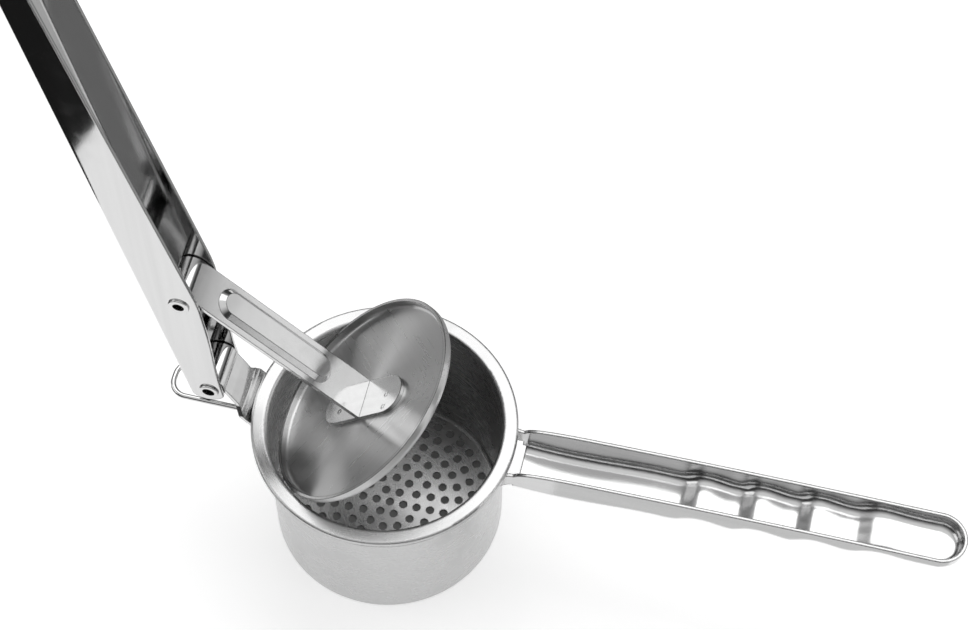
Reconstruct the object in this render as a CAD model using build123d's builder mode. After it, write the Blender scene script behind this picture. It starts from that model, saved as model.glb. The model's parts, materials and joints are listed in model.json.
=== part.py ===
from build123d import *
import math
import os

# Potato ricer in pressed stainless steel, millimetres, +Z up.
# Origin: centre of the hopper's underside. +X runs along the fixed handle.
# The press handle is modelled open, with the disc half out of the hopper.

# ---- hopper: round perforated cup with a turned-over lip ----
hopper_inner_r = 42.2
hopper_wall = 0.8
hopper_height = 67.4
lip_width = 5.0
lip_drop = 2.0
base_bend_r = 1.6
lip_bend_r = 1.1
lip_edge_bend_r = 0.6
hole_r = 1.5
hole_pitch = 5.29
hole_rings = 7
hole_turns = (0.0, 0.0, 0.5, 0.5, 3.0, 9.0, 5.3)

# ---- shared sheet and fit sizes ----
sheet = 1.2
fit_gap = 0.05
side_gap = 0.1
slide_gap = 0.35

# ---- lower handle: collar round the hopper and a channel grip ----
collar_depth = 10.1
lower_half_width = 9.5
grip_length = 160.8
flare_r = 8.0
neck_length = 2.5
neck_drop = 2.0
belly_from_lip = (14.0, 38.0, 54.0)
belly_rise = (-2.7, -1.25, -0.3)
first_finger_from_lip = 61.0
first_finger_rise = 0.2
grip_bend_r = 4.6
finger_pitch = 20.4
finger_count = 3
finger_rise_per_mm = 0.0807
finger_arch = 2.4
last_finger_length = 25.8
grip_tip_drop = 3.4
grip_top_from_lip = (12.0, 29.0, 75.0, 148.0)
grip_top_rise = (1.1, 2.2, 3.6, 4.2)
lip_pass_gap = 0.25

# ---- hinge tongue and pot rest ----
pin_from_lip = 13.4
pin_above_lip = 13.0
main_pin_r = 3.0
rivet_wall = 0.8
main_head_overhang = 0.6
head_thickness = 0.7
barrel_wall = 2.5
tongue_sheet = 1.5
tongue_base_half_width = 10.5
tongue_step_rise = 1.6
tongue_bend_rise = 3.5
tongue_lip_gap = 1.65
tongue_neck_x = 6.8
tongue_neck_drop = 4.2
rest_wire_r = 1.05
rest_half_gap = 7.0
rest_past_pin = 17.0
rest_corner_r = 6.0
rest_below_lip = 0.2

# ---- press handle: channel that turns on the main pin ----
press_length = 271.0
press_half_width = 9.25
web_gap = 1.35
press_lean = 8.8
flange_bottom_r = 6.5
flange_kink = (55.0, 10.8)
flange_after_kink = (61.0, 10.9)
flange_tip_height = 0.0
bend_outer_r = 2.0

# ---- arm pin, plunger arm, foot and disc ----
arm_pin_angle = 94.6
arm_pin_r = 2.8
arm_head_overhang = 0.9
eye_wall = 1.95
arm_sheet = 1.5
arm_over_pin = 2.4
disc_rest_x = -6.4
bead_height = 1.7
bead_width = 11.0
bead_draft = 45.0
bead_start = 11.0
bead_end = 64.0
foot_sheet = 1.5
foot_half_width = 7.6
foot_right = 19.2
foot_left = 19.5
disc_gap = 1.7
disc_rim = 4.2
disc_bend_r = 1.8

os.makedirs("parts", exist_ok=True)

# Values that follow from the ones above.
hopper_outer_r = hopper_inner_r + hopper_wall
lip_outer_r = hopper_outer_r + lip_width
collar_inner_r = hopper_outer_r + fit_gap
collar_outer_r = collar_inner_r + sheet
lip_underside_z = hopper_height - hopper_wall
collar_low_z = lip_underside_z - collar_depth
lip_edge_z = hopper_height - lip_drop
lip_edge_inner_r = lip_outer_r - hopper_wall
lower_length = lip_outer_r + grip_length
main_pin_x = -lip_outer_r - pin_from_lip
main_pin_z = hopper_height + pin_above_lip
barrel_r = main_pin_r + barrel_wall
press_web_offset = barrel_r + web_gap + sheet
press_inner_half = press_half_width - sheet
tongue_half_width = press_inner_half - slide_gap
eye_r = arm_pin_r + eye_wall
arm_offset = eye_r - arm_sheet / 2

# With the handle closed, the arm pin stands over the hopper's middle and the arm reaches its base.
arm_pin_distance = -main_pin_x - arm_offset
arm_pin_x = main_pin_x + arm_pin_distance * math.cos(math.radians(arm_pin_angle))
arm_pin_z = main_pin_z + arm_pin_distance * math.sin(math.radians(arm_pin_angle))
arm_reach = main_pin_z + arm_over_pin
disc_r = hopper_inner_r - disc_gap
arm_span = math.hypot(arm_reach, arm_offset)
arm_tilt = math.asin((disc_rest_x - arm_pin_x) / arm_span) - math.atan2(arm_offset, arm_reach)


# ---- hopper ----
with BuildPart() as hopper:
    with BuildSketch(Plane.XZ) as hopper_section:
        with BuildLine():
            FilletPolyline(
                (0, hopper_wall / 2),
                (hopper_inner_r + hopper_wall / 2, hopper_wall / 2),
                (hopper_inner_r + hopper_wall / 2, hopper_height - hopper_wall / 2),
                (lip_outer_r - hopper_wall / 2, hopper_height - hopper_wall / 2),
                (lip_outer_r - hopper_wall / 2, lip_edge_z),
                radius=(base_bend_r, lip_bend_r, lip_edge_bend_r),
            )
        trace(line_width=hopper_wall)
    revolve(axis=Axis.Z)
    with BuildSketch(Plane.XY) as hole_pattern:
        Circle(hole_r)
        for ring in range(1, hole_rings + 1):
            with PolarLocations(hole_pitch * ring, 6 * ring, start_angle=hole_turns[ring - 1]):
                Circle(hole_r)
    extrude(amount=hopper_wall, mode=Mode.SUBTRACT)
hopper.part.label = "hopper"
export_step(hopper.part, "parts/hopper.step")


# ---- lower handle ----
# Plan of the strip's outside or inside: a ring that flares into two straight walls.
def ring_with_walls(ring_r, half_width, corner_r):
    with BuildSketch(Plane.XY) as plan:
        Circle(ring_r)
        with Locations((lip_outer_r / 2 + 5, 0)):
            Rectangle(lip_outer_r + 10, 2 * half_width)
        corners = plan.vertices().filter_by(
            lambda v: abs(v.center().length - ring_r) < 0.01 and abs(abs(v.Y) - half_width) < 0.01
        )
        fillet(corners, corner_r)
    return plan.sketch


# Plan of the channel's outside or inside: a strip with one round end.
def grip_plan(half_width, end):
    with Locations(((wall_start_x + end - half_width) / 2, 0)):
        Rectangle(end - half_width - wall_start_x, 2 * half_width)
    with Locations((end - half_width, 0)):
        Circle(half_width)


# Points along the middle of the grip's underside, from the neck to the tip, raised by lift.
def grip_underside(lift):
    points = [(wall_start_x - 1, collar_low_z - neck_drop + lift)]
    points += [(lip_outer_r + x, collar_low_z + z + lift) for x, z in zip(belly_from_lip, belly_rise)]
    x = lip_outer_r + first_finger_from_lip
    z = collar_low_z + first_finger_rise + lift
    for span in [finger_pitch] * finger_count + [last_finger_length]:
        rise = span * finger_rise_per_mm
        points.append((x, z))
        points.append((x + 0.28 * span, z + 0.28 * rise + finger_arch))
        points.append((x + 0.68 * span, z + 0.68 * rise + 0.42 * finger_arch))
        x = x + span
        z = z + rise
    points.append((x, z))
    points.append((lower_length + 1, hopper_height - grip_tip_drop + lift))
    return points


lip_slot_x = lip_edge_inner_r - 2.5
lip_slot_z = lip_edge_z - lip_pass_gap
flare_centre_y = lower_half_width + flare_r
wall_start_x = math.sqrt((collar_outer_r + flare_r) ** 2 - flare_centre_y**2)
floor_start_x = lip_outer_r + neck_length
wall_low_z = collar_low_z - neck_drop + grip_bend_r
grip_top = [(lip_outer_r + x, hopper_height + z) for x, z in zip(grip_top_from_lip, grip_top_rise)]

with BuildPart() as collar:
    extrude(ring_with_walls(collar_outer_r, lower_half_width, flare_r), amount=lip_outer_r * 2)
    with BuildSketch(Plane.XZ):
        Polygon(
            (-lip_outer_r, lip_underside_z),
            (-lip_outer_r, collar_low_z),
            (collar_outer_r - 3, collar_low_z),
            (wall_start_x, wall_low_z),
            (floor_start_x, wall_low_z),
            (floor_start_x, lip_slot_z),
            (lip_slot_x, lip_slot_z),
            (lip_slot_x, lip_underside_z),
            align=None,
        )
    extrude(amount=lip_outer_r, both=True, mode=Mode.INTERSECT)
    inside = ring_with_walls(collar_inner_r, lower_half_width - sheet, flare_r + sheet)
    extrude(inside, amount=lip_outer_r * 2, mode=Mode.SUBTRACT)

with BuildPart() as grip_cavity:
    with BuildSketch(Plane.XY):
        grip_plan(lower_half_width - sheet, lower_length - sheet)
    extrude(amount=lip_outer_r * 2)
    with BuildSketch(Plane.XZ):
        with BuildLine():
            cavity_floor = Spline(*grip_underside(sheet), tangents=((1, 0), (1, 0)))
            Polyline(
                cavity_floor @ 1,
                (lower_length + 1, lip_outer_r * 2),
                (wall_start_x - 1, lip_outer_r * 2),
                cavity_floor @ 0,
            )
        make_face()
    extrude(amount=lip_outer_r, both=True, mode=Mode.INTERSECT)
    floor_edges = grip_cavity.faces().sort_by(Axis.Z)[0].edges()
    fillet(floor_edges.sort_by(Axis.X)[1:], grip_bend_r - sheet)

with BuildPart() as lower_handle:
    with BuildSketch(Plane.XY):
        grip_plan(lower_half_width, lower_length)
    extrude(amount=lip_outer_r * 2)
    with BuildSketch(Plane.XZ):
        with BuildLine():
            underside = Spline(*grip_underside(0), tangents=((1, 0), (1, 0)))
            Polyline(underside @ 1, (lower_length + 1, grip_top[3][1]), grip_top[3])
            Spline(
                grip_top[3],
                grip_top[2],
                grip_top[1],
                grip_top[0],
                (lip_outer_r + 1.5, lip_slot_z),
                tangents=((-1, 0), (-0.75, -1)),
            )
            Polyline((lip_outer_r + 1.5, lip_slot_z), (wall_start_x - 1, lip_slot_z), underside @ 0)
        make_face()
    extrude(amount=lip_outer_r, both=True, mode=Mode.INTERSECT)
    under_edges = lower_handle.faces().sort_by(Axis.Z)[0].edges()
    fillet(under_edges.sort_by(Axis.X)[1:], grip_bend_r)
    add(grip_cavity.part, mode=Mode.SUBTRACT)
    with BuildSketch(Plane.XZ):
        with Locations((floor_start_x - 5, wall_low_z - 10)):
            Rectangle(10, 20)
    extrude(amount=lower_half_width - sheet, both=True, mode=Mode.SUBTRACT)
    add(collar.part)
    with Locations((0, 0, lip_underside_z - hopper_wall)):
        Cone(
            collar_inner_r,
            collar_inner_r + hopper_wall,
            hopper_wall,
            align=(Align.CENTER, Align.CENTER, Align.MIN),
            mode=Mode.SUBTRACT,
        )
lower_handle.part.label = "lower_handle"
export_step(lower_handle.part, "parts/lower_handle.step")


# ---- hinge tongue: sheet that leaves the collar, passes under the lip and curls round the pin ----
tongue_weld_x = -(collar_outer_r + tongue_sheet / 2 - 0.15)
tongue_shoulder = (-lip_outer_r - tongue_lip_gap - tongue_sheet / 2, hopper_height - rest_below_lip)
tongue_neck = (main_pin_x + tongue_neck_x, main_pin_z - tongue_neck_drop)
tongue_barrel_start = (main_pin_x + barrel_r - tongue_sheet / 2 - 0.1, main_pin_z)
tongue_step_z = hopper_height + tongue_step_rise
rest_end_x = main_pin_x - rest_past_pin
rest_z = hopper_height - rest_below_lip

with BuildPart() as hinge_tongue:
    with BuildSketch(Plane.XZ) as tongue_section:
        with BuildLine():
            FilletPolyline(
                (tongue_weld_x, collar_low_z + 1),
                (tongue_weld_x, collar_low_z + tongue_bend_rise),
                tongue_shoulder,
                tongue_neck,
                tongue_barrel_start,
                radius=(3.0, 6.0, 4.0),
            )
        trace(line_width=tongue_sheet)
        with Locations((main_pin_x, main_pin_z)):
            Circle(barrel_r)
            Circle(main_pin_r, mode=Mode.SUBTRACT)
    extrude(amount=tongue_base_half_width, both=True)
    with BuildSketch(Plane.YZ) as tongue_front:
        with BuildLine():
            Polyline(
                (tongue_half_width, main_pin_z + 20),
                (tongue_half_width, tongue_step_z + 2),
                (tongue_base_half_width, tongue_step_z - 2),
                (tongue_base_half_width, 0),
                (-tongue_base_half_width, 0),
                (-tongue_base_half_width, tongue_step_z - 2),
                (-tongue_half_width, tongue_step_z + 2),
                (-tongue_half_width, main_pin_z + 20),
                close=True,
            )
        make_face()
        fillet(tongue_front.vertices().group_by(Axis.Y)[1:-1], 2.0)
    extrude(amount=2 * lip_outer_r, both=True, mode=Mode.INTERSECT)
    Cylinder(collar_outer_r, 4 * lip_underside_z, mode=Mode.SUBTRACT)
hinge_tongue.part.label = "hinge_tongue"
export_step(hinge_tongue.part, "parts/hinge_tongue.step")


# ---- pot rest: one bent wire whose two ends are welded to the tongue ----
with BuildPart() as pot_rest:
    with BuildLine(Plane.XY.offset(rest_z)) as rest_path:
        FilletPolyline(
            (main_pin_x + 10, -rest_half_gap),
            (rest_end_x, -rest_half_gap),
            (rest_end_x, rest_half_gap),
            (main_pin_x + 10, rest_half_gap),
            radius=rest_corner_r,
        )
    with BuildSketch(Plane(origin=rest_path.line @ 0, z_dir=rest_path.line % 0)):
        Circle(rest_wire_r)
    sweep(path=rest_path.line)
    add(hinge_tongue.part, mode=Mode.SUBTRACT)
pot_rest.part.label = "pot_rest"
export_step(pot_rest.part, "parts/pot_rest.step")


# ---- rivets ----
def rivet_plane(x, z):
    return Plane(origin=(x, 0, z), x_dir=(1, 0, 0), z_dir=(0, -1, 0))


head_start = press_half_width + side_gap
with BuildPart() as main_hinge_pin:
    with BuildSketch(rivet_plane(main_pin_x, main_pin_z)):
        Circle(main_pin_r)
    extrude(amount=head_start + head_thickness, both=True)
    for side in (-1, 1):
        with BuildSketch(rivet_plane(main_pin_x, main_pin_z).offset(side * head_start)):
            Circle(main_pin_r + main_head_overhang)
        extrude(amount=side * head_thickness)
    rims = main_hinge_pin.edges().filter_by(GeomType.CIRCLE)
    fillet([e for e in rims if abs(abs(e.center().Y) - head_start - head_thickness) < 0.01], 0.35)
    with BuildSketch(rivet_plane(main_pin_x, main_pin_z)):
        Circle(main_pin_r - rivet_wall)
    extrude(amount=2 * head_start, both=True, mode=Mode.SUBTRACT)
main_hinge_pin.part.label = "main_hinge_pin"
export_step(main_hinge_pin.part, "parts/main_hinge_pin.step")

with BuildPart() as arm_pin:
    with BuildSketch(rivet_plane(arm_pin_x, arm_pin_z)):
        Circle(arm_pin_r)
    extrude(amount=press_half_width + head_thickness, both=True)
    for side in (-1, 1):
        with BuildSketch(rivet_plane(arm_pin_x, arm_pin_z).offset(side * press_half_width)):
            Circle(arm_pin_r + arm_head_overhang)
        extrude(amount=side * head_thickness)
    rims = arm_pin.edges().filter_by(GeomType.CIRCLE)
    fillet([e for e in rims if abs(abs(e.center().Y) - press_half_width - head_thickness) < 0.01], 0.35)
    with BuildSketch(rivet_plane(arm_pin_x, arm_pin_z)):
        Circle(arm_pin_r - rivet_wall)
    extrude(amount=2 * press_half_width, both=True, mode=Mode.SUBTRACT)
arm_pin.part.label = "arm_pin"
export_step(arm_pin.part, "parts/arm_pin.step")


# ---- press handle ----
# Local frame: x along the handle from the main pin, z out of the channel's open side.
lean = math.radians(press_lean)
along = (-math.sin(lean), 0, math.cos(lean))
outward = (math.cos(lean), 0, math.sin(lean))
web_plane = Plane(origin=(main_pin_x, 0, main_pin_z), x_dir=along, z_dir=outward)
web_line = Axis((main_pin_x, 0, main_pin_z), outward)
handle_line = Axis((main_pin_x, 0, main_pin_z), along)
flange_plane = Plane(origin=(main_pin_x, 0, main_pin_z), x_dir=along, z_dir=(0, 1, 0))


# Plan of the handle on its web: a strip with one round end.
def press_plan(half_width, end):
    with Locations(((end - half_width - 20) / 2, 0)):
        Rectangle(end - half_width + 20, 2 * half_width)
    with Locations((end - half_width, 0)):
        Circle(half_width)


with BuildPart() as press_cavity:
    with BuildSketch(web_plane.offset(sheet - press_web_offset)):
        press_plan(press_inner_half, press_length - sheet)
    extrude(amount=60)
    inner_bend = press_cavity.faces().sort_by(web_line)[0].edges()
    fillet(inner_bend.sort_by(handle_line)[1:], bend_outer_r - sheet)

with BuildPart() as press_handle:
    with BuildSketch(web_plane.offset(-press_web_offset)):
        press_plan(press_half_width, press_length)
    extrude(amount=60)
    outer_bend = press_handle.faces().sort_by(web_line)[0].edges()
    fillet(outer_bend.sort_by(handle_line)[1:], bend_outer_r)
    with BuildSketch(flange_plane) as press_side:
        with BuildLine():
            ThreePointArc((-2.0, -press_web_offset), (-flange_bottom_r, -1.0), (-3.6, 4.6))
            Spline((-3.6, 4.6), (12.0, 5.9), (30.7, 8.5), flange_kink, tangents=((1, 0.05), (1, 0.09)))
            Polyline(
                flange_kink,
                flange_after_kink,
                (press_length, flange_tip_height),
                (press_length + 1, -press_web_offset),
                (-2.0, -press_web_offset),
            )
        make_face()
    extrude(amount=2 * press_half_width, both=True, mode=Mode.INTERSECT)
    add(press_cavity.part, mode=Mode.SUBTRACT)
    with BuildSketch(rivet_plane(main_pin_x, main_pin_z)):
        Circle(main_pin_r + fit_gap)
    extrude(amount=2 * press_half_width, both=True, mode=Mode.SUBTRACT)
    with BuildSketch(rivet_plane(arm_pin_x, arm_pin_z)):
        Circle(arm_pin_r)
    extrude(amount=2 * press_half_width, both=True, mode=Mode.SUBTRACT)
press_handle.part.label = "press_handle"
export_step(press_handle.part, "parts/press_handle.step")


# ---- plunger: arm, foot and disc on one tilted axis ----
down = Vector(math.sin(arm_tilt), 0, -math.cos(arm_tilt))
face = Vector(math.cos(arm_tilt), 0, math.sin(arm_tilt))
arm_pin_centre = Vector(arm_pin_x, 0, arm_pin_z)
disc_top = arm_pin_centre + down * arm_reach + face * arm_offset
arm_end = arm_reach - foot_sheet
arm_side = Plane(origin=arm_pin_centre, x_dir=down, z_dir=(0, -1, 0))
arm_face = Plane(origin=arm_pin_centre + face * eye_r, x_dir=down, z_dir=face)
bead_length = bead_end - bead_start

with BuildPart() as plunger_arm:
    with BuildSketch(arm_side) as arm_section:
        Circle(eye_r)
        with Locations((arm_end / 2, arm_offset)):
            Rectangle(arm_end, arm_sheet)
        Circle(arm_pin_r + fit_gap, mode=Mode.SUBTRACT)
    extrude(amount=tongue_half_width, both=True)
    with BuildSketch(arm_face):
        with Locations((bead_start + bead_length / 2, 0)):
            SlotOverall(bead_length, bead_width)
    extrude(amount=bead_height, taper=bead_draft)
    with BuildSketch(arm_face.offset(-arm_sheet)):
        with Locations((bead_start + bead_length / 2, 0)):
            SlotOverall(bead_length - arm_sheet, bead_width - arm_sheet)
    extrude(amount=bead_height, taper=bead_draft, mode=Mode.SUBTRACT)
plunger_arm.part.label = "plunger_arm"
export_step(plunger_arm.part, "parts/plunger_arm.step")

with BuildPart() as plunger_foot:
    with BuildSketch(Plane(origin=disc_top, x_dir=face, z_dir=-down)):
        with Locations(((foot_right - foot_left) / 2, 0)):
            SlotOverall(foot_right + foot_left, 2 * foot_half_width)
    extrude(amount=foot_sheet)
plunger_foot.part.label = "plunger_foot"
export_step(plunger_foot.part, "parts/plunger_foot.step")

with BuildPart() as plunger_disc:
    with BuildSketch(Plane(origin=disc_top, x_dir=face, z_dir=(0, -1, 0))):
        with BuildLine():
            FilletPolyline(
                (0, -sheet / 2),
                (disc_r - sheet / 2, -sheet / 2),
                (disc_r - sheet / 2, disc_rim - sheet),
                radius=disc_bend_r,
            )
        trace(line_width=sheet)
    revolve(axis=Axis(disc_top, -down))
plunger_disc.part.label = "plunger_disc"
export_step(plunger_disc.part, "parts/plunger_disc.step")
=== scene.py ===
# %% [markdown]
# A potato ricer in stainless steel: a perforated cup with a fixed channel handle, a
# second channel handle that turns on a tubular rivet, and a pressing disc on a short
# arm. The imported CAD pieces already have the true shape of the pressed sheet, so they
# stay as they are. This lesson gives each of them a steel finish, adds the spot welds on
# the plunger's foot, and lights the steel, because polished metal mostly shows what
# stands around it.

# %% Load the frame
import json
import math

import bpy
import numpy as np
from mathutils import Matrix, Vector


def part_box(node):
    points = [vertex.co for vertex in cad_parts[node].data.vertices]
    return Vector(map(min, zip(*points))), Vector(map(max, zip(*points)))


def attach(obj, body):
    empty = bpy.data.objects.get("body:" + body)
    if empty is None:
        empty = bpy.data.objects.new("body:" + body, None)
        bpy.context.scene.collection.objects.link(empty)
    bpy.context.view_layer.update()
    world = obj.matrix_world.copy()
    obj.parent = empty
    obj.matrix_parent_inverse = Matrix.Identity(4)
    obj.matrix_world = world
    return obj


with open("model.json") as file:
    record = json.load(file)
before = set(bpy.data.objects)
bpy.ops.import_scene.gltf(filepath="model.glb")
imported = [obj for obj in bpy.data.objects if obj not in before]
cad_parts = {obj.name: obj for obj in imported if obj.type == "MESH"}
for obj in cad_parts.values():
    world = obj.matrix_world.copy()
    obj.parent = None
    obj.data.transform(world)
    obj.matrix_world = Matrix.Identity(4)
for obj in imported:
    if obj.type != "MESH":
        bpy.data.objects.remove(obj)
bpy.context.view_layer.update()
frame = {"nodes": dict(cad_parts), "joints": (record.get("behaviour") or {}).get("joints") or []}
steel_nodes = frame["nodes"]
joints = {joint["name"]: joint for joint in frame["joints"]}

# %% [markdown]
# The pressing disc, its foot and the arm share one tilted frame. `plunger_up` runs along
# the arm from the disc, and `plunger_right` lies in the disc's face. The arm pin is a
# joint of the record and the boxes of the disc and the foot give their middles, so only
# the tilt and the foot's thickness are typed here.

# %% The plunger's axis
arm_pin = Vector(joints["plunger_swing"]["pos_m"])
disc_low, disc_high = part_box("plunger_disc")
foot_low, foot_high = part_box("plunger_foot")
foot_thickness = 0.0015
disc_tilt = math.radians(43.207)
plunger_up = Vector((-math.sin(disc_tilt), 0.0, math.cos(disc_tilt)))
plunger_right = Vector((math.cos(disc_tilt), 0.0, math.sin(disc_tilt)))
disc_middle = (disc_low + disc_high) / 2
foot_middle = (foot_low + foot_high) / 2
reach_to_foot = (arm_pin - foot_middle).dot(plunger_up) - foot_thickness / 2
arm_side_step = (disc_middle - arm_pin).dot(plunger_right)
print("disc middle", [round(v * 1000, 1) for v in disc_middle], "mm; reach", round(reach_to_foot * 1000, 1))

# %% [markdown]
# The camera looks down at about sixty degrees from in front and a little to the right,
# through a moderately long lens, so the far handle narrows only a little. Its turn is
# built from three unit vectors: the line of sight, the view's right and its up.

# %% Camera
camera_place = Vector((0.1142, -0.3500, 0.7747))
focal_length = 82.4
film_width = 36.0
sight_turn = math.radians(-12.55)
sight_drop = math.radians(59.82)
roll = math.radians(1.06)
sight = Vector((
    math.sin(sight_turn) * math.cos(sight_drop),
    math.cos(sight_turn) * math.cos(sight_drop),
    -math.sin(sight_drop),
))
level_right = Vector((math.cos(sight_turn), -math.sin(sight_turn), 0.0))
level_up = level_right.cross(sight)
view_right = level_right * math.cos(roll) + level_up * math.sin(roll)
view_up = -level_right * math.sin(roll) + level_up * math.cos(roll)
camera_data = bpy.data.cameras.new("viewpoint")
camera_data.sensor_width = film_width
camera_data.lens = focal_length
camera_data.clip_start = 0.05
camera_data.clip_end = 20.0
camera = bpy.data.objects.new("viewpoint", camera_data)
bpy.context.scene.collection.objects.link(camera)
turn = Matrix((view_right, view_up, -sight)).transposed().to_4x4()
camera.matrix_world = Matrix.Translation(camera_place) @ turn
bpy.context.scene.camera = camera
print("camera at", [round(v, 3) for v in camera.location])

# %% [markdown]
# Steel finishes share four effects, so each is a shader group built once. A group only
# hands out masks and heights; the Principled shader stays in the material. `add_node`
# keeps the building short: it adds a node, fills its sockets and links what is given.

# %% Shader helpers
def add_node(tree, kind, **values):
    """One shader node. Names that start with in_ set or link the input of that number or name."""
    node = tree.nodes.new(kind)
    for name, value in values.items():
        if not name.startswith("in_"):
            setattr(node, name, value)
    for name, value in values.items():
        if name.startswith("in_"):
            key = name[3:]
            socket = node.inputs[int(key)] if key.isdigit() else node.inputs[key.replace("_", " ")]
            if isinstance(value, bpy.types.NodeSocket):
                tree.links.new(value, socket)
            else:
                socket.default_value = value
    return node


def math_node(tree, operation, *terms, clamp=False):
    """The result of one Math node on sockets or numbers."""
    node = tree.nodes.new("ShaderNodeMath")
    node.operation = operation
    node.use_clamp = clamp
    for socket, term in zip(node.inputs, terms):
        if isinstance(term, bpy.types.NodeSocket):
            tree.links.new(term, socket)
        else:
            socket.default_value = term
    return node.outputs[0]


def new_group(name, takes, gives):
    """A shader group with the named inputs (name, socket type, value) and outputs."""
    tree = bpy.data.node_groups.new(name, "ShaderNodeTree")
    for label, kind, value in takes:
        socket = tree.interface.new_socket(name=label, in_out="INPUT", socket_type=kind)
        if value is not None:
            socket.default_value = value
    for label, kind in gives:
        tree.interface.new_socket(name=label, in_out="OUTPUT", socket_type=kind)
    return tree, tree.nodes.new("NodeGroupInput"), tree.nodes.new("NodeGroupOutput")


FLOAT = "NodeSocketFloat"
VECTOR = "NodeSocketVector"

# %% [markdown]
# A spun or lathe-polished surface carries fine rings about its axis. The ring number is
# the distance from the axis plus the height along it, so the same rings run over a
# floor and up a wall. Feeding a noise with the direction round the axis as well breaks
# each ring into long arcs, as a real polishing belt does.

# %% Turned grain
def make_turned_grain():
    """Height = noise(cos, sin of the turn, rings per metre times (radius + height))."""
    smallest_radius = 0.0005
    wide_ring_share = 0.13
    tree, given, out = new_group(
        "turned grain",
        [("Place", VECTOR, None), ("Rings", FLOAT, 6000.0), ("Arc", FLOAT, 3.0)],
        [("Height", FLOAT), ("Streak", FLOAT)],
    )
    part = add_node(tree, "ShaderNodeSeparateXYZ", in_0=given.outputs["Place"]).outputs
    flat = add_node(tree, "ShaderNodeCombineXYZ", in_0=part[0], in_1=part[1])
    length = add_node(tree, "ShaderNodeVectorMath", operation="LENGTH", in_0=flat.outputs[0])
    radius = length.outputs["Value"]
    safe = math_node(tree, "MAXIMUM", radius, smallest_radius)
    cosine = math_node(tree, "MULTIPLY", math_node(tree, "DIVIDE", part[0], safe), given.outputs["Arc"])
    sine = math_node(tree, "MULTIPLY", math_node(tree, "DIVIDE", part[1], safe), given.outputs["Arc"])
    ring = math_node(tree, "MULTIPLY", math_node(tree, "ADD", radius, part[2]), given.outputs["Rings"])
    grain_place = add_node(tree, "ShaderNodeCombineXYZ", in_0=cosine, in_1=sine, in_2=ring)
    fine = add_node(
        tree, "ShaderNodeTexNoise",
        in_Vector=grain_place.outputs[0], in_Scale=1.0, in_Detail=3.0,
    )
    wide_ring = math_node(tree, "MULTIPLY", ring, wide_ring_share)
    wide_place = add_node(tree, "ShaderNodeCombineXYZ", in_0=cosine, in_1=sine, in_2=wide_ring)
    wide = add_node(
        tree, "ShaderNodeTexNoise",
        in_Vector=wide_place.outputs[0], in_Scale=1.0, in_Detail=2.0,
    )
    tree.links.new(fine.outputs["Fac"], out.inputs["Height"])
    tree.links.new(wide.outputs["Fac"], out.inputs["Streak"])
    return tree


turned_grain = make_turned_grain()

# %% [markdown]
# Sheet that has been drawn and buffed has faint lines along its length. They come from
# a noise whose place is squeezed along one direction and stretched across it.

# %% Drawn grain
def make_drawn_grain():
    """Height = noise(place times the stretch for each axis)."""
    tree, given, out = new_group(
        "drawn grain",
        [("Place", VECTOR, None), ("Stretch", VECTOR, (1, 1, 1))],
        [("Height", FLOAT), ("Streak", FLOAT)],
    )
    place = add_node(
        tree, "ShaderNodeVectorMath", operation="MULTIPLY",
        in_0=given.outputs["Place"], in_1=given.outputs["Stretch"],
    )
    fine = add_node(tree, "ShaderNodeTexNoise", in_Vector=place.outputs[0], in_Scale=1.0, in_Detail=3.0)
    wide = add_node(tree, "ShaderNodeTexNoise", in_Vector=place.outputs[0], in_Scale=0.15, in_Detail=2.0)
    tree.links.new(fine.outputs["Fac"], out.inputs["Height"])
    tree.links.new(wide.outputs["Fac"], out.inputs["Streak"])
    return tree


drawn_grain = make_drawn_grain()

# %% [markdown]
# Pressed sheet is never quite flat, and hands leave faint smears on it. One slow noise
# bends the reflections a little, and another, cut off low, raises the roughness in
# patches.

# %% Handled sheet
def make_handled_sheet():
    """Height = slow noise; Smear = how far a second noise rises over one half."""
    tree, given, out = new_group(
        "handled sheet",
        [("Place", VECTOR, None), ("Ripple", FLOAT, 45.0)],
        [("Height", FLOAT), ("Smear", FLOAT)],
    )
    slow = add_node(
        tree, "ShaderNodeTexNoise",
        in_Vector=given.outputs["Place"], in_Scale=given.outputs["Ripple"], in_Detail=1.0,
    )
    patch = add_node(
        tree, "ShaderNodeTexNoise",
        in_Vector=given.outputs["Place"], in_Scale=95.0, in_Detail=5.0,
    )
    smear = add_node(
        tree, "ShaderNodeMapRange",
        in_Value=patch.outputs["Fac"], in_From_Min=0.5, in_From_Max=0.72, in_To_Min=0.0, in_To_Max=1.0,
    )
    tree.links.new(slow.outputs["Fac"], out.inputs["Height"])
    tree.links.new(smear.outputs["Result"], out.inputs["Smear"])
    return tree


handled_sheet = make_handled_sheet()

# %% [markdown]
# Painted shade: the material darkens its base colour along the cut edges, the dark line a
# rounded edge shows where it turns from the light. A Bevel node in the material gives a normal that
# turns over near an edge. This group compares it with the true normal: where the cosine
# between them falls, there is an edge, and the mask falls from one to the painted shade given.

# %% Painted edge shade
def make_painted_edge_shade():
    """Mask = 1 where rounded . true normal is high, falling to the painted shade on a cut edge."""
    edge_cosine = 0.88
    face_cosine = 0.995
    tree, given, out = new_group(
        "painted edge shade",
        [("Rounded", VECTOR, None), ("Painted shade", FLOAT, 0.1)],
        [("Mask", FLOAT)],
    )
    facing = add_node(
        tree, "ShaderNodeVectorMath", operation="DOT_PRODUCT",
        in_0=given.outputs["Rounded"], in_1=add_node(tree, "ShaderNodeNewGeometry").outputs["Normal"],
    ).outputs["Value"]
    mask = add_node(
        tree, "ShaderNodeMapRange",
        in_Value=facing, in_From_Min=edge_cosine, in_From_Max=face_cosine,
        in_To_Min=given.outputs["Painted shade"], in_To_Max=1.0,
    )
    tree.links.new(mask.outputs["Result"], out.inputs["Mask"])
    return tree


painted_edge_shade_group = make_painted_edge_shade()
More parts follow.
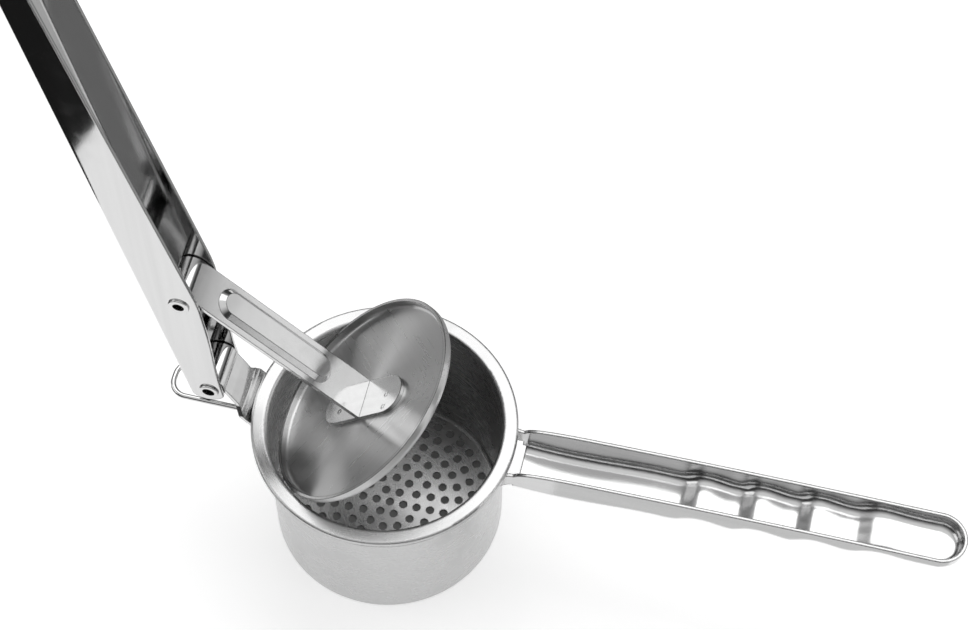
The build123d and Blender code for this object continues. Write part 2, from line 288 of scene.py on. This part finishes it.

# %% [markdown]
# One function makes every steel: the groups above give a roughness that varies, two
# bumps, one coarse and one fine, and painted shade that darkens the cut edges. A Bevel node
# under the bumps rounds the cut edges of the sheet for the light, as a tumbled edge is.
#
# Fine rings scatter light across themselves, so on turned pieces the highlight spreads
# along the radius and fans out from the middle. The Principled shader does this when its
# tangent is the cross product of the surface's normal and the direction along the ring.

# %% Steel
def brushed_tangent(tree, place, middle, turned):
    """Unit vector across the rings = normal x (axis x (place - middle))."""
    from_middle = add_node(tree, "ShaderNodeVectorMath", operation="SUBTRACT", in_0=place, in_1=middle)
    round_axis = add_node(
        tree, "ShaderNodeVectorMath", operation="CROSS_PRODUCT",
        in_0=(math.sin(turned), 0.0, math.cos(turned)), in_1=from_middle.outputs[0],
    )
    along_ring = add_node(
        tree, "ShaderNodeVectorTransform",
        vector_type="VECTOR", convert_from="OBJECT", convert_to="WORLD",
        in_0=round_axis.outputs[0],
    )
    across_ring = add_node(
        tree, "ShaderNodeVectorMath", operation="CROSS_PRODUCT",
        in_0=add_node(tree, "ShaderNodeNewGeometry").outputs["Normal"], in_1=along_ring.outputs[0],
    )
    return add_node(
        tree, "ShaderNodeVectorMath", operation="NORMALIZE", in_0=across_ring.outputs[0],
    ).outputs[0]


def steel(
    name, colour, grain, grain_values, rough, rough_gain, grain_depth, ripple_depth,
    axis=None, edge=0.00045, brushed=0.0, painted_edge_shade=0.1,
):
    """A metal with roughness = rough + gain * streak + smear, and with grain and ripple as bumps."""
    smear_gain = 0.05
    dull_share = 0.88
    material = bpy.data.materials.new(name)
    material.use_nodes = True
    tree = material.node_tree
    shader = tree.nodes["Principled BSDF"]
    place = add_node(tree, "ShaderNodeTexCoord").outputs["Object"]
    grain_place = place
    middle, turned = axis or ((0.0, 0.0, 0.0), 0.0)
    if axis is not None:
        shifted = add_node(tree, "ShaderNodeVectorMath", operation="SUBTRACT", in_0=place, in_1=middle)
        grain_place = add_node(
            tree, "ShaderNodeVectorRotate", rotation_type="Y_AXIS",
            in_Vector=shifted.outputs[0], in_Angle=turned,
        ).outputs[0]
    pattern = tree.nodes.new("ShaderNodeGroup")
    pattern.node_tree = grain
    tree.links.new(grain_place, pattern.inputs["Place"])
    for label, value in grain_values.items():
        pattern.inputs[label].default_value = value
    sheet = tree.nodes.new("ShaderNodeGroup")
    sheet.node_tree = handled_sheet
    tree.links.new(place, sheet.inputs["Place"])
    streak = math_node(tree, "MULTIPLY_ADD", pattern.outputs["Streak"], rough_gain, rough)
    smeared = math_node(tree, "MULTIPLY_ADD", sheet.outputs["Smear"], smear_gain, streak, clamp=True)
    tree.links.new(smeared, shader.inputs["Roughness"])
    tint = add_node(
        tree, "ShaderNodeMix", data_type="RGBA",
        in_0=pattern.outputs["Streak"],
        in_6=(*[c * dull_share for c in colour], 1.0), in_7=(*colour, 1.0),
    )
    rounded = add_node(tree, "ShaderNodeBevel", samples=6, in_Radius=edge)
    edges = tree.nodes.new("ShaderNodeGroup")
    edges.node_tree = painted_edge_shade_group
    edges.inputs["Painted shade"].default_value = painted_edge_shade
    tree.links.new(rounded.outputs[0], edges.inputs["Rounded"])
    # Painted shade: the edge mask darkens the tint along the cut edges.
    edge_shaded = add_node(
        tree, "ShaderNodeVectorMath", operation="SCALE",
        in_0=tint.outputs[2], in_Scale=edges.outputs["Mask"],
    )
    tree.links.new(edge_shaded.outputs[0], shader.inputs["Base Color"])
    if brushed > 0.0:
        tree.links.new(brushed_tangent(tree, place, middle, turned), shader.inputs["Tangent"])
        shader.inputs["Anisotropic"].default_value = brushed
    ripple = add_node(
        tree, "ShaderNodeBump", in_Strength=1.0, in_Distance=ripple_depth,
        in_Height=sheet.outputs["Height"], in_Normal=rounded.outputs[0],
    )
    lines = add_node(
        tree, "ShaderNodeBump", in_Strength=1.0, in_Distance=grain_depth,
        in_Height=pattern.outputs["Height"], in_Normal=ripple.outputs[0],
    )
    tree.links.new(lines.outputs[0], shader.inputs["Normal"])
    shader.inputs["Metallic"].default_value = 1.0
    return material


bright_colour = (0.70, 0.70, 0.70)
satin_colour = (0.60, 0.60, 0.60)
disc_axis = (tuple(disc_middle), -disc_tilt)
along_x = {"Stretch": (60.0, 2500.0, 2500.0)}
along_z = {"Stretch": (2500.0, 2500.0, 60.0)}
finishes = {
    "hopper": steel(
        "spun hopper steel", satin_colour, turned_grain, {"Rings": 7000.0, "Arc": 4.0},
        rough=0.22, rough_gain=0.10, grain_depth=0.000003, ripple_depth=0.00003,
        brushed=0.7,
    ),
    "plunger_disc": steel(
        "turned disc steel", satin_colour, turned_grain, {"Rings": 5000.0, "Arc": 3.0},
        rough=0.22, rough_gain=0.14, grain_depth=0.000005, ripple_depth=0.00002,
        axis=disc_axis, brushed=0.92,
    ),
    "lower_handle": steel(
        "buffed handle steel", bright_colour, drawn_grain, along_x,
        rough=0.12, rough_gain=0.06, grain_depth=0.000001, ripple_depth=0.00009,
        edge=0.001,
    ),
    "press_handle": steel(
        "buffed press steel", bright_colour, drawn_grain, along_z,
        rough=0.04, rough_gain=0.05, grain_depth=0.000001, ripple_depth=0.00004,
        edge=0.0008,
    ),
    "hinge_tongue": steel(
        "buffed hinge steel", bright_colour, drawn_grain, along_z,
        rough=0.05, rough_gain=0.06, grain_depth=0.000001, ripple_depth=0.00004,
    ),
    "plunger_arm": steel(
        "buffed arm steel", bright_colour, drawn_grain, along_z,
        rough=0.08, rough_gain=0.06, grain_depth=0.000001, ripple_depth=0.00003,
        axis=disc_axis,
    ),
    "plunger_foot": steel(
        "buffed foot steel", bright_colour, drawn_grain, along_z,
        rough=0.16, rough_gain=0.06, grain_depth=0.000001, ripple_depth=0.00008,
        axis=disc_axis,
    ),
    "rivet": steel(
        "rivet steel", bright_colour, drawn_grain, {"Stretch": (900.0, 900.0, 900.0)},
        rough=0.12, rough_gain=0.08, grain_depth=0.000002, ripple_depth=0.00002,
        edge=0.0002,
    ),
    "wire": steel(
        "wire steel", bright_colour, drawn_grain, along_x,
        rough=0.06, rough_gain=0.06, grain_depth=0.000001, ripple_depth=0.00002,
        edge=0.0001,
    ),
}
finish_of = {
    "hopper": "hopper", "plunger_disc": "plunger_disc", "lower_handle": "lower_handle",
    "press_handle": "press_handle", "hinge_tongue": "hinge_tongue", "plunger_arm": "plunger_arm",
    "plunger_foot": "plunger_foot", "main_hinge_pin": "rivet", "arm_pin": "rivet", "pot_rest": "wire",
}
for name, piece in steel_nodes.items():
    piece.data.materials.clear()
    piece.data.materials.append(finishes[finish_of[name]])
print("finished", len(steel_nodes), "pieces with", len(finishes), "steels")

# %% [markdown]
# The foot is held to the disc by spot welds. Each leaves a small round dimple with a
# raised lip. It is a surface of two parameters, the share of the radius and the turn:
# the height rises to a ring and falls again towards the rim, the middle lies a little
# low, and a flat back closes it just under the plate's face.

# %% Spot welds
def dimple_mesh(name, centre, right, up, radius, ring_height, sink):
    """Height over the face = ring * (sin(pi * share^2)^2 - dip * (1 - share)), with dip 0.35."""
    dip = 0.35
    turn_steps = 24
    up = np.array(up)
    right = np.array(right)
    side = np.cross(up, right)
    shares = np.array([0.0, 0.15, 0.3, 0.45, 0.6, 0.72, 0.84, 0.93, 1.0])
    turns = np.linspace(0.0, 2.0 * np.pi, turn_steps + 1)[:-1]
    share, turn_angle = np.meshgrid(shares[1:], turns, indexing="ij")
    rise = ring_height * (np.sin(np.pi * share ** 2) ** 2 - dip * (1.0 - share))
    outward = np.cos(turn_angle)[..., None] * right + np.sin(turn_angle)[..., None] * side
    spot = np.array(centre) + radius * share[..., None] * outward + rise[..., None] * up
    rings = len(shares) - 1
    middle_top = np.array(centre) - dip * ring_height * up
    middle_back = np.array(centre) - sink * up
    back_rim = spot[-1] - sink * up
    points = np.concatenate([spot.reshape(-1, 3), back_rim, [middle_top], [middle_back]])
    start = np.arange(rings)[:, None] * turn_steps + np.arange(turn_steps)
    after = np.arange(rings)[:, None] * turn_steps + np.roll(np.arange(turn_steps), -1)
    quads = np.stack([start, np.roll(start, -1, 0), np.roll(after, -1, 0), after], -1)[:-1]
    quads = quads.reshape(-1, 4)
    rim = np.stack([start[-1], start[-1] + turn_steps, after[-1] + turn_steps, after[-1]], -1)
    top = len(points) - 2
    fan = np.column_stack([np.full(turn_steps, top), start[0], after[0]])
    back = np.column_stack([np.full(turn_steps, top + 1), after[-1] + turn_steps, start[-1] + turn_steps])
    mesh = bpy.data.meshes.new(name)
    mesh.from_pydata(points.tolist(), [], quads.tolist() + rim.tolist() + fan.tolist() + back.tolist())
    mesh.polygons.foreach_set("use_smooth", np.ones(len(mesh.polygons), bool))
    mesh.validate()
    piece = bpy.data.objects.new(name, mesh)
    bpy.context.scene.collection.objects.link(piece)
    return piece


weld_places = ((0.0120, -0.0004), (0.0120, -0.0053), (-0.0112, 0.0022), (-0.0112, -0.0030))
weld_radius = 0.0011
weld_ring_height = 0.00016
weld_sink = 0.0002
foot_face = arm_pin - plunger_up * reach_to_foot
for number, (out, across) in enumerate(weld_places):
    centre = foot_face + plunger_right * (out + arm_side_step) + Vector((0, across, 0))
    weld = dimple_mesh(
        f"spot_weld_{number + 1}", centre, plunger_right, plunger_up,
        weld_radius, weld_ring_height, weld_sink,
    )
    weld.data.materials.append(finishes["rivet"])
    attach(weld, "plunger")
print("four spot welds on the foot")

# %% [markdown]
# The floor is a wide pale sheet with a faint glow of its own, so it stays white in the
# object's soft shade. It is a stage piece, not part of the object.

# %% Floor
def make_sheet(name, corners):
    """A flat face through four corners, as a mesh object."""
    mesh = bpy.data.meshes.new(name)
    mesh.from_pydata([tuple(c) for c in corners], [], [(0, 1, 2, 3)])
    piece = bpy.data.objects.new(name, mesh)
    bpy.context.scene.collection.objects.link(piece)
    return piece


def plain(name, colour, roughness, glow=0.0):
    """A plain finish for the stage; a glow keeps a white sheet white in its own shade."""
    material = bpy.data.materials.new(name)
    material.use_nodes = True
    shader = material.node_tree.nodes["Principled BSDF"]
    shader.inputs["Base Color"].default_value = (*colour, 1.0)
    shader.inputs["Roughness"].default_value = roughness
    shader.inputs["Specular IOR Level"].default_value = 0.2
    shader.inputs["Emission Color"].default_value = (1.0, 1.0, 1.0, 1.0)
    shader.inputs["Emission Strength"].default_value = glow
    return material


floor_reach = 3.0
floor = make_sheet("floor", [
    (-floor_reach, -floor_reach, 0), (floor_reach, -floor_reach, 0),
    (floor_reach, floor_reach, 0), (-floor_reach, floor_reach, 0),
])
floor.data.materials.append(plain("pale floor", (0.85, 0.85, 0.85), 0.6, glow=0.46))

# %% [markdown]
# Polished steel shows its surroundings, so the light is a bright dome that darkens
# towards the horizon, a large soft panel overhead with smaller ones round it, and dark
# and grey cards that draw the streaks. The cards are hidden from the camera and only seen
# in the steel. The camera itself sees a pale backdrop where the floor ends. Under the cup
# lies a dull disc, so the holes in its base look into shade.

# %% Surroundings
world = bpy.data.worlds.new("studio")
world.use_nodes = True
bpy.context.scene.world = world
bpy.context.scene.view_settings.view_transform = "Standard"
sky = world.node_tree
direction = add_node(sky, "ShaderNodeTexCoord").outputs["Generated"]
height = add_node(sky, "ShaderNodeSeparateXYZ", in_0=direction).outputs[2]
shade = add_node(sky, "ShaderNodeValToRGB", in_0=height)
ramp = shade.color_ramp
ramp.elements[0].position = 0.0
ramp.elements[0].color = (0.06, 0.06, 0.06, 1)
ramp.elements[1].position = 0.9
ramp.elements[1].color = (0.85, 0.85, 0.85, 1)
low = ramp.elements.new(0.38)
low.color = (0.05, 0.05, 0.05, 1)
middle = ramp.elements.new(0.62)
middle.color = (0.4, 0.4, 0.4, 1)
seen_directly = add_node(sky, "ShaderNodeLightPath").outputs["Is Camera Ray"]
backdrop = add_node(
    sky, "ShaderNodeMix", data_type="RGBA",
    in_0=seen_directly, in_6=shade.outputs[0], in_7=(0.95, 0.95, 0.95, 1.0),
)
sky.links.new(backdrop.outputs[2], sky.nodes["Background"].inputs["Color"])
sky.nodes["Background"].inputs["Strength"].default_value = 1.0


def soft_panel(name, place, target, size, watts):
    """A rectangular area light at place that faces target."""
    data = bpy.data.lights.new(name, "AREA")
    data.shape = "RECTANGLE"
    data.size, data.size_y = size
    data.energy = watts
    lamp = bpy.data.objects.new(name, data)
    bpy.context.scene.collection.objects.link(lamp)
    aim = (Vector(target) - Vector(place)).to_track_quat("-Z", "Y")
    lamp.matrix_world = Matrix.Translation(Vector(place)) @ aim.to_matrix().to_4x4()
    return lamp


soft_panel("overhead panel", (0.1, 0.75, 1.5), (0, 0, 0.05), (2.0, 1.1), 8.4)
soft_panel("left panel", (-1.2, -0.3, 0.7), (0, 0, 0.1), (0.9, 0.7), 2.2)
soft_panel("right panel", (1.3, -0.2, 0.6), (0.1, 0, 0.1), (0.5, 0.7), 1.4)
soft_panel("back right panel", (1.15, 0.64, 0.16), (-0.03, 0, 0.1), (0.55, 0.45), 0.75)


def dark_card(name, corners, tone):
    """A dark sheet that the camera doesn't see but the steel does."""
    card = make_sheet(name, corners)
    card.data.materials.append(tone)
    card.visible_camera = False
    card.visible_shadow = False
    card.visible_diffuse = False
    return card


def floor_card(name, corners, height, tone):
    """A card just above the floor through four corners (x, y)."""
    return dark_card(name, [(x, y, height) for x, y in corners], tone)


black = plain("black card", (0.01, 0.01, 0.01), 0.9)
grey = plain("grey card", (0.0, 0.0, 0.0), 0.9, glow=0.75)
dull = plain("dull card", (0.0, 0.0, 0.0), 0.9, glow=0.36)
low_card = 0.001
high_card = 0.002
floor_card("back card", [(-0.08, 0.07), (0.3, 0.07), (0.3, 0.5), (-0.08, 0.5)], low_card, dull)
floor_card("front right card", [(0.06, -0.6), (0.5, -0.6), (0.5, -0.022), (0.06, -0.022)], low_card, grey)
floor_card("front card", [(-0.9, -0.7), (-0.03, -0.7), (-0.202, -0.01), (-0.9, -0.01)], high_card, black)
dark_card(
    "back left card",
    [(-0.9, 0.35, 0.0), (-0.55, 0.62, 0.0), (-0.55, 0.62, 0.5), (-0.9, 0.35, 0.5)], black,
)

shade_radius = 0.039
shade_height = 0.0001
shade_sides = 32
shade_turns = np.linspace(0.0, 2.0 * np.pi, shade_sides + 1)[:-1]
shade_rim = np.column_stack([
    shade_radius * np.cos(shade_turns),
    shade_radius * np.sin(shade_turns),
    np.full(shade_sides, shade_height),
])
under = bpy.data.meshes.new("shade under the cup")
under.from_pydata(shade_rim.tolist(), [], [tuple(range(shade_sides))])
under_piece = bpy.data.objects.new("shade under the cup", under)
bpy.context.scene.collection.objects.link(under_piece)
under.materials.append(plain("shade", (0.30, 0.30, 0.30), 0.9))
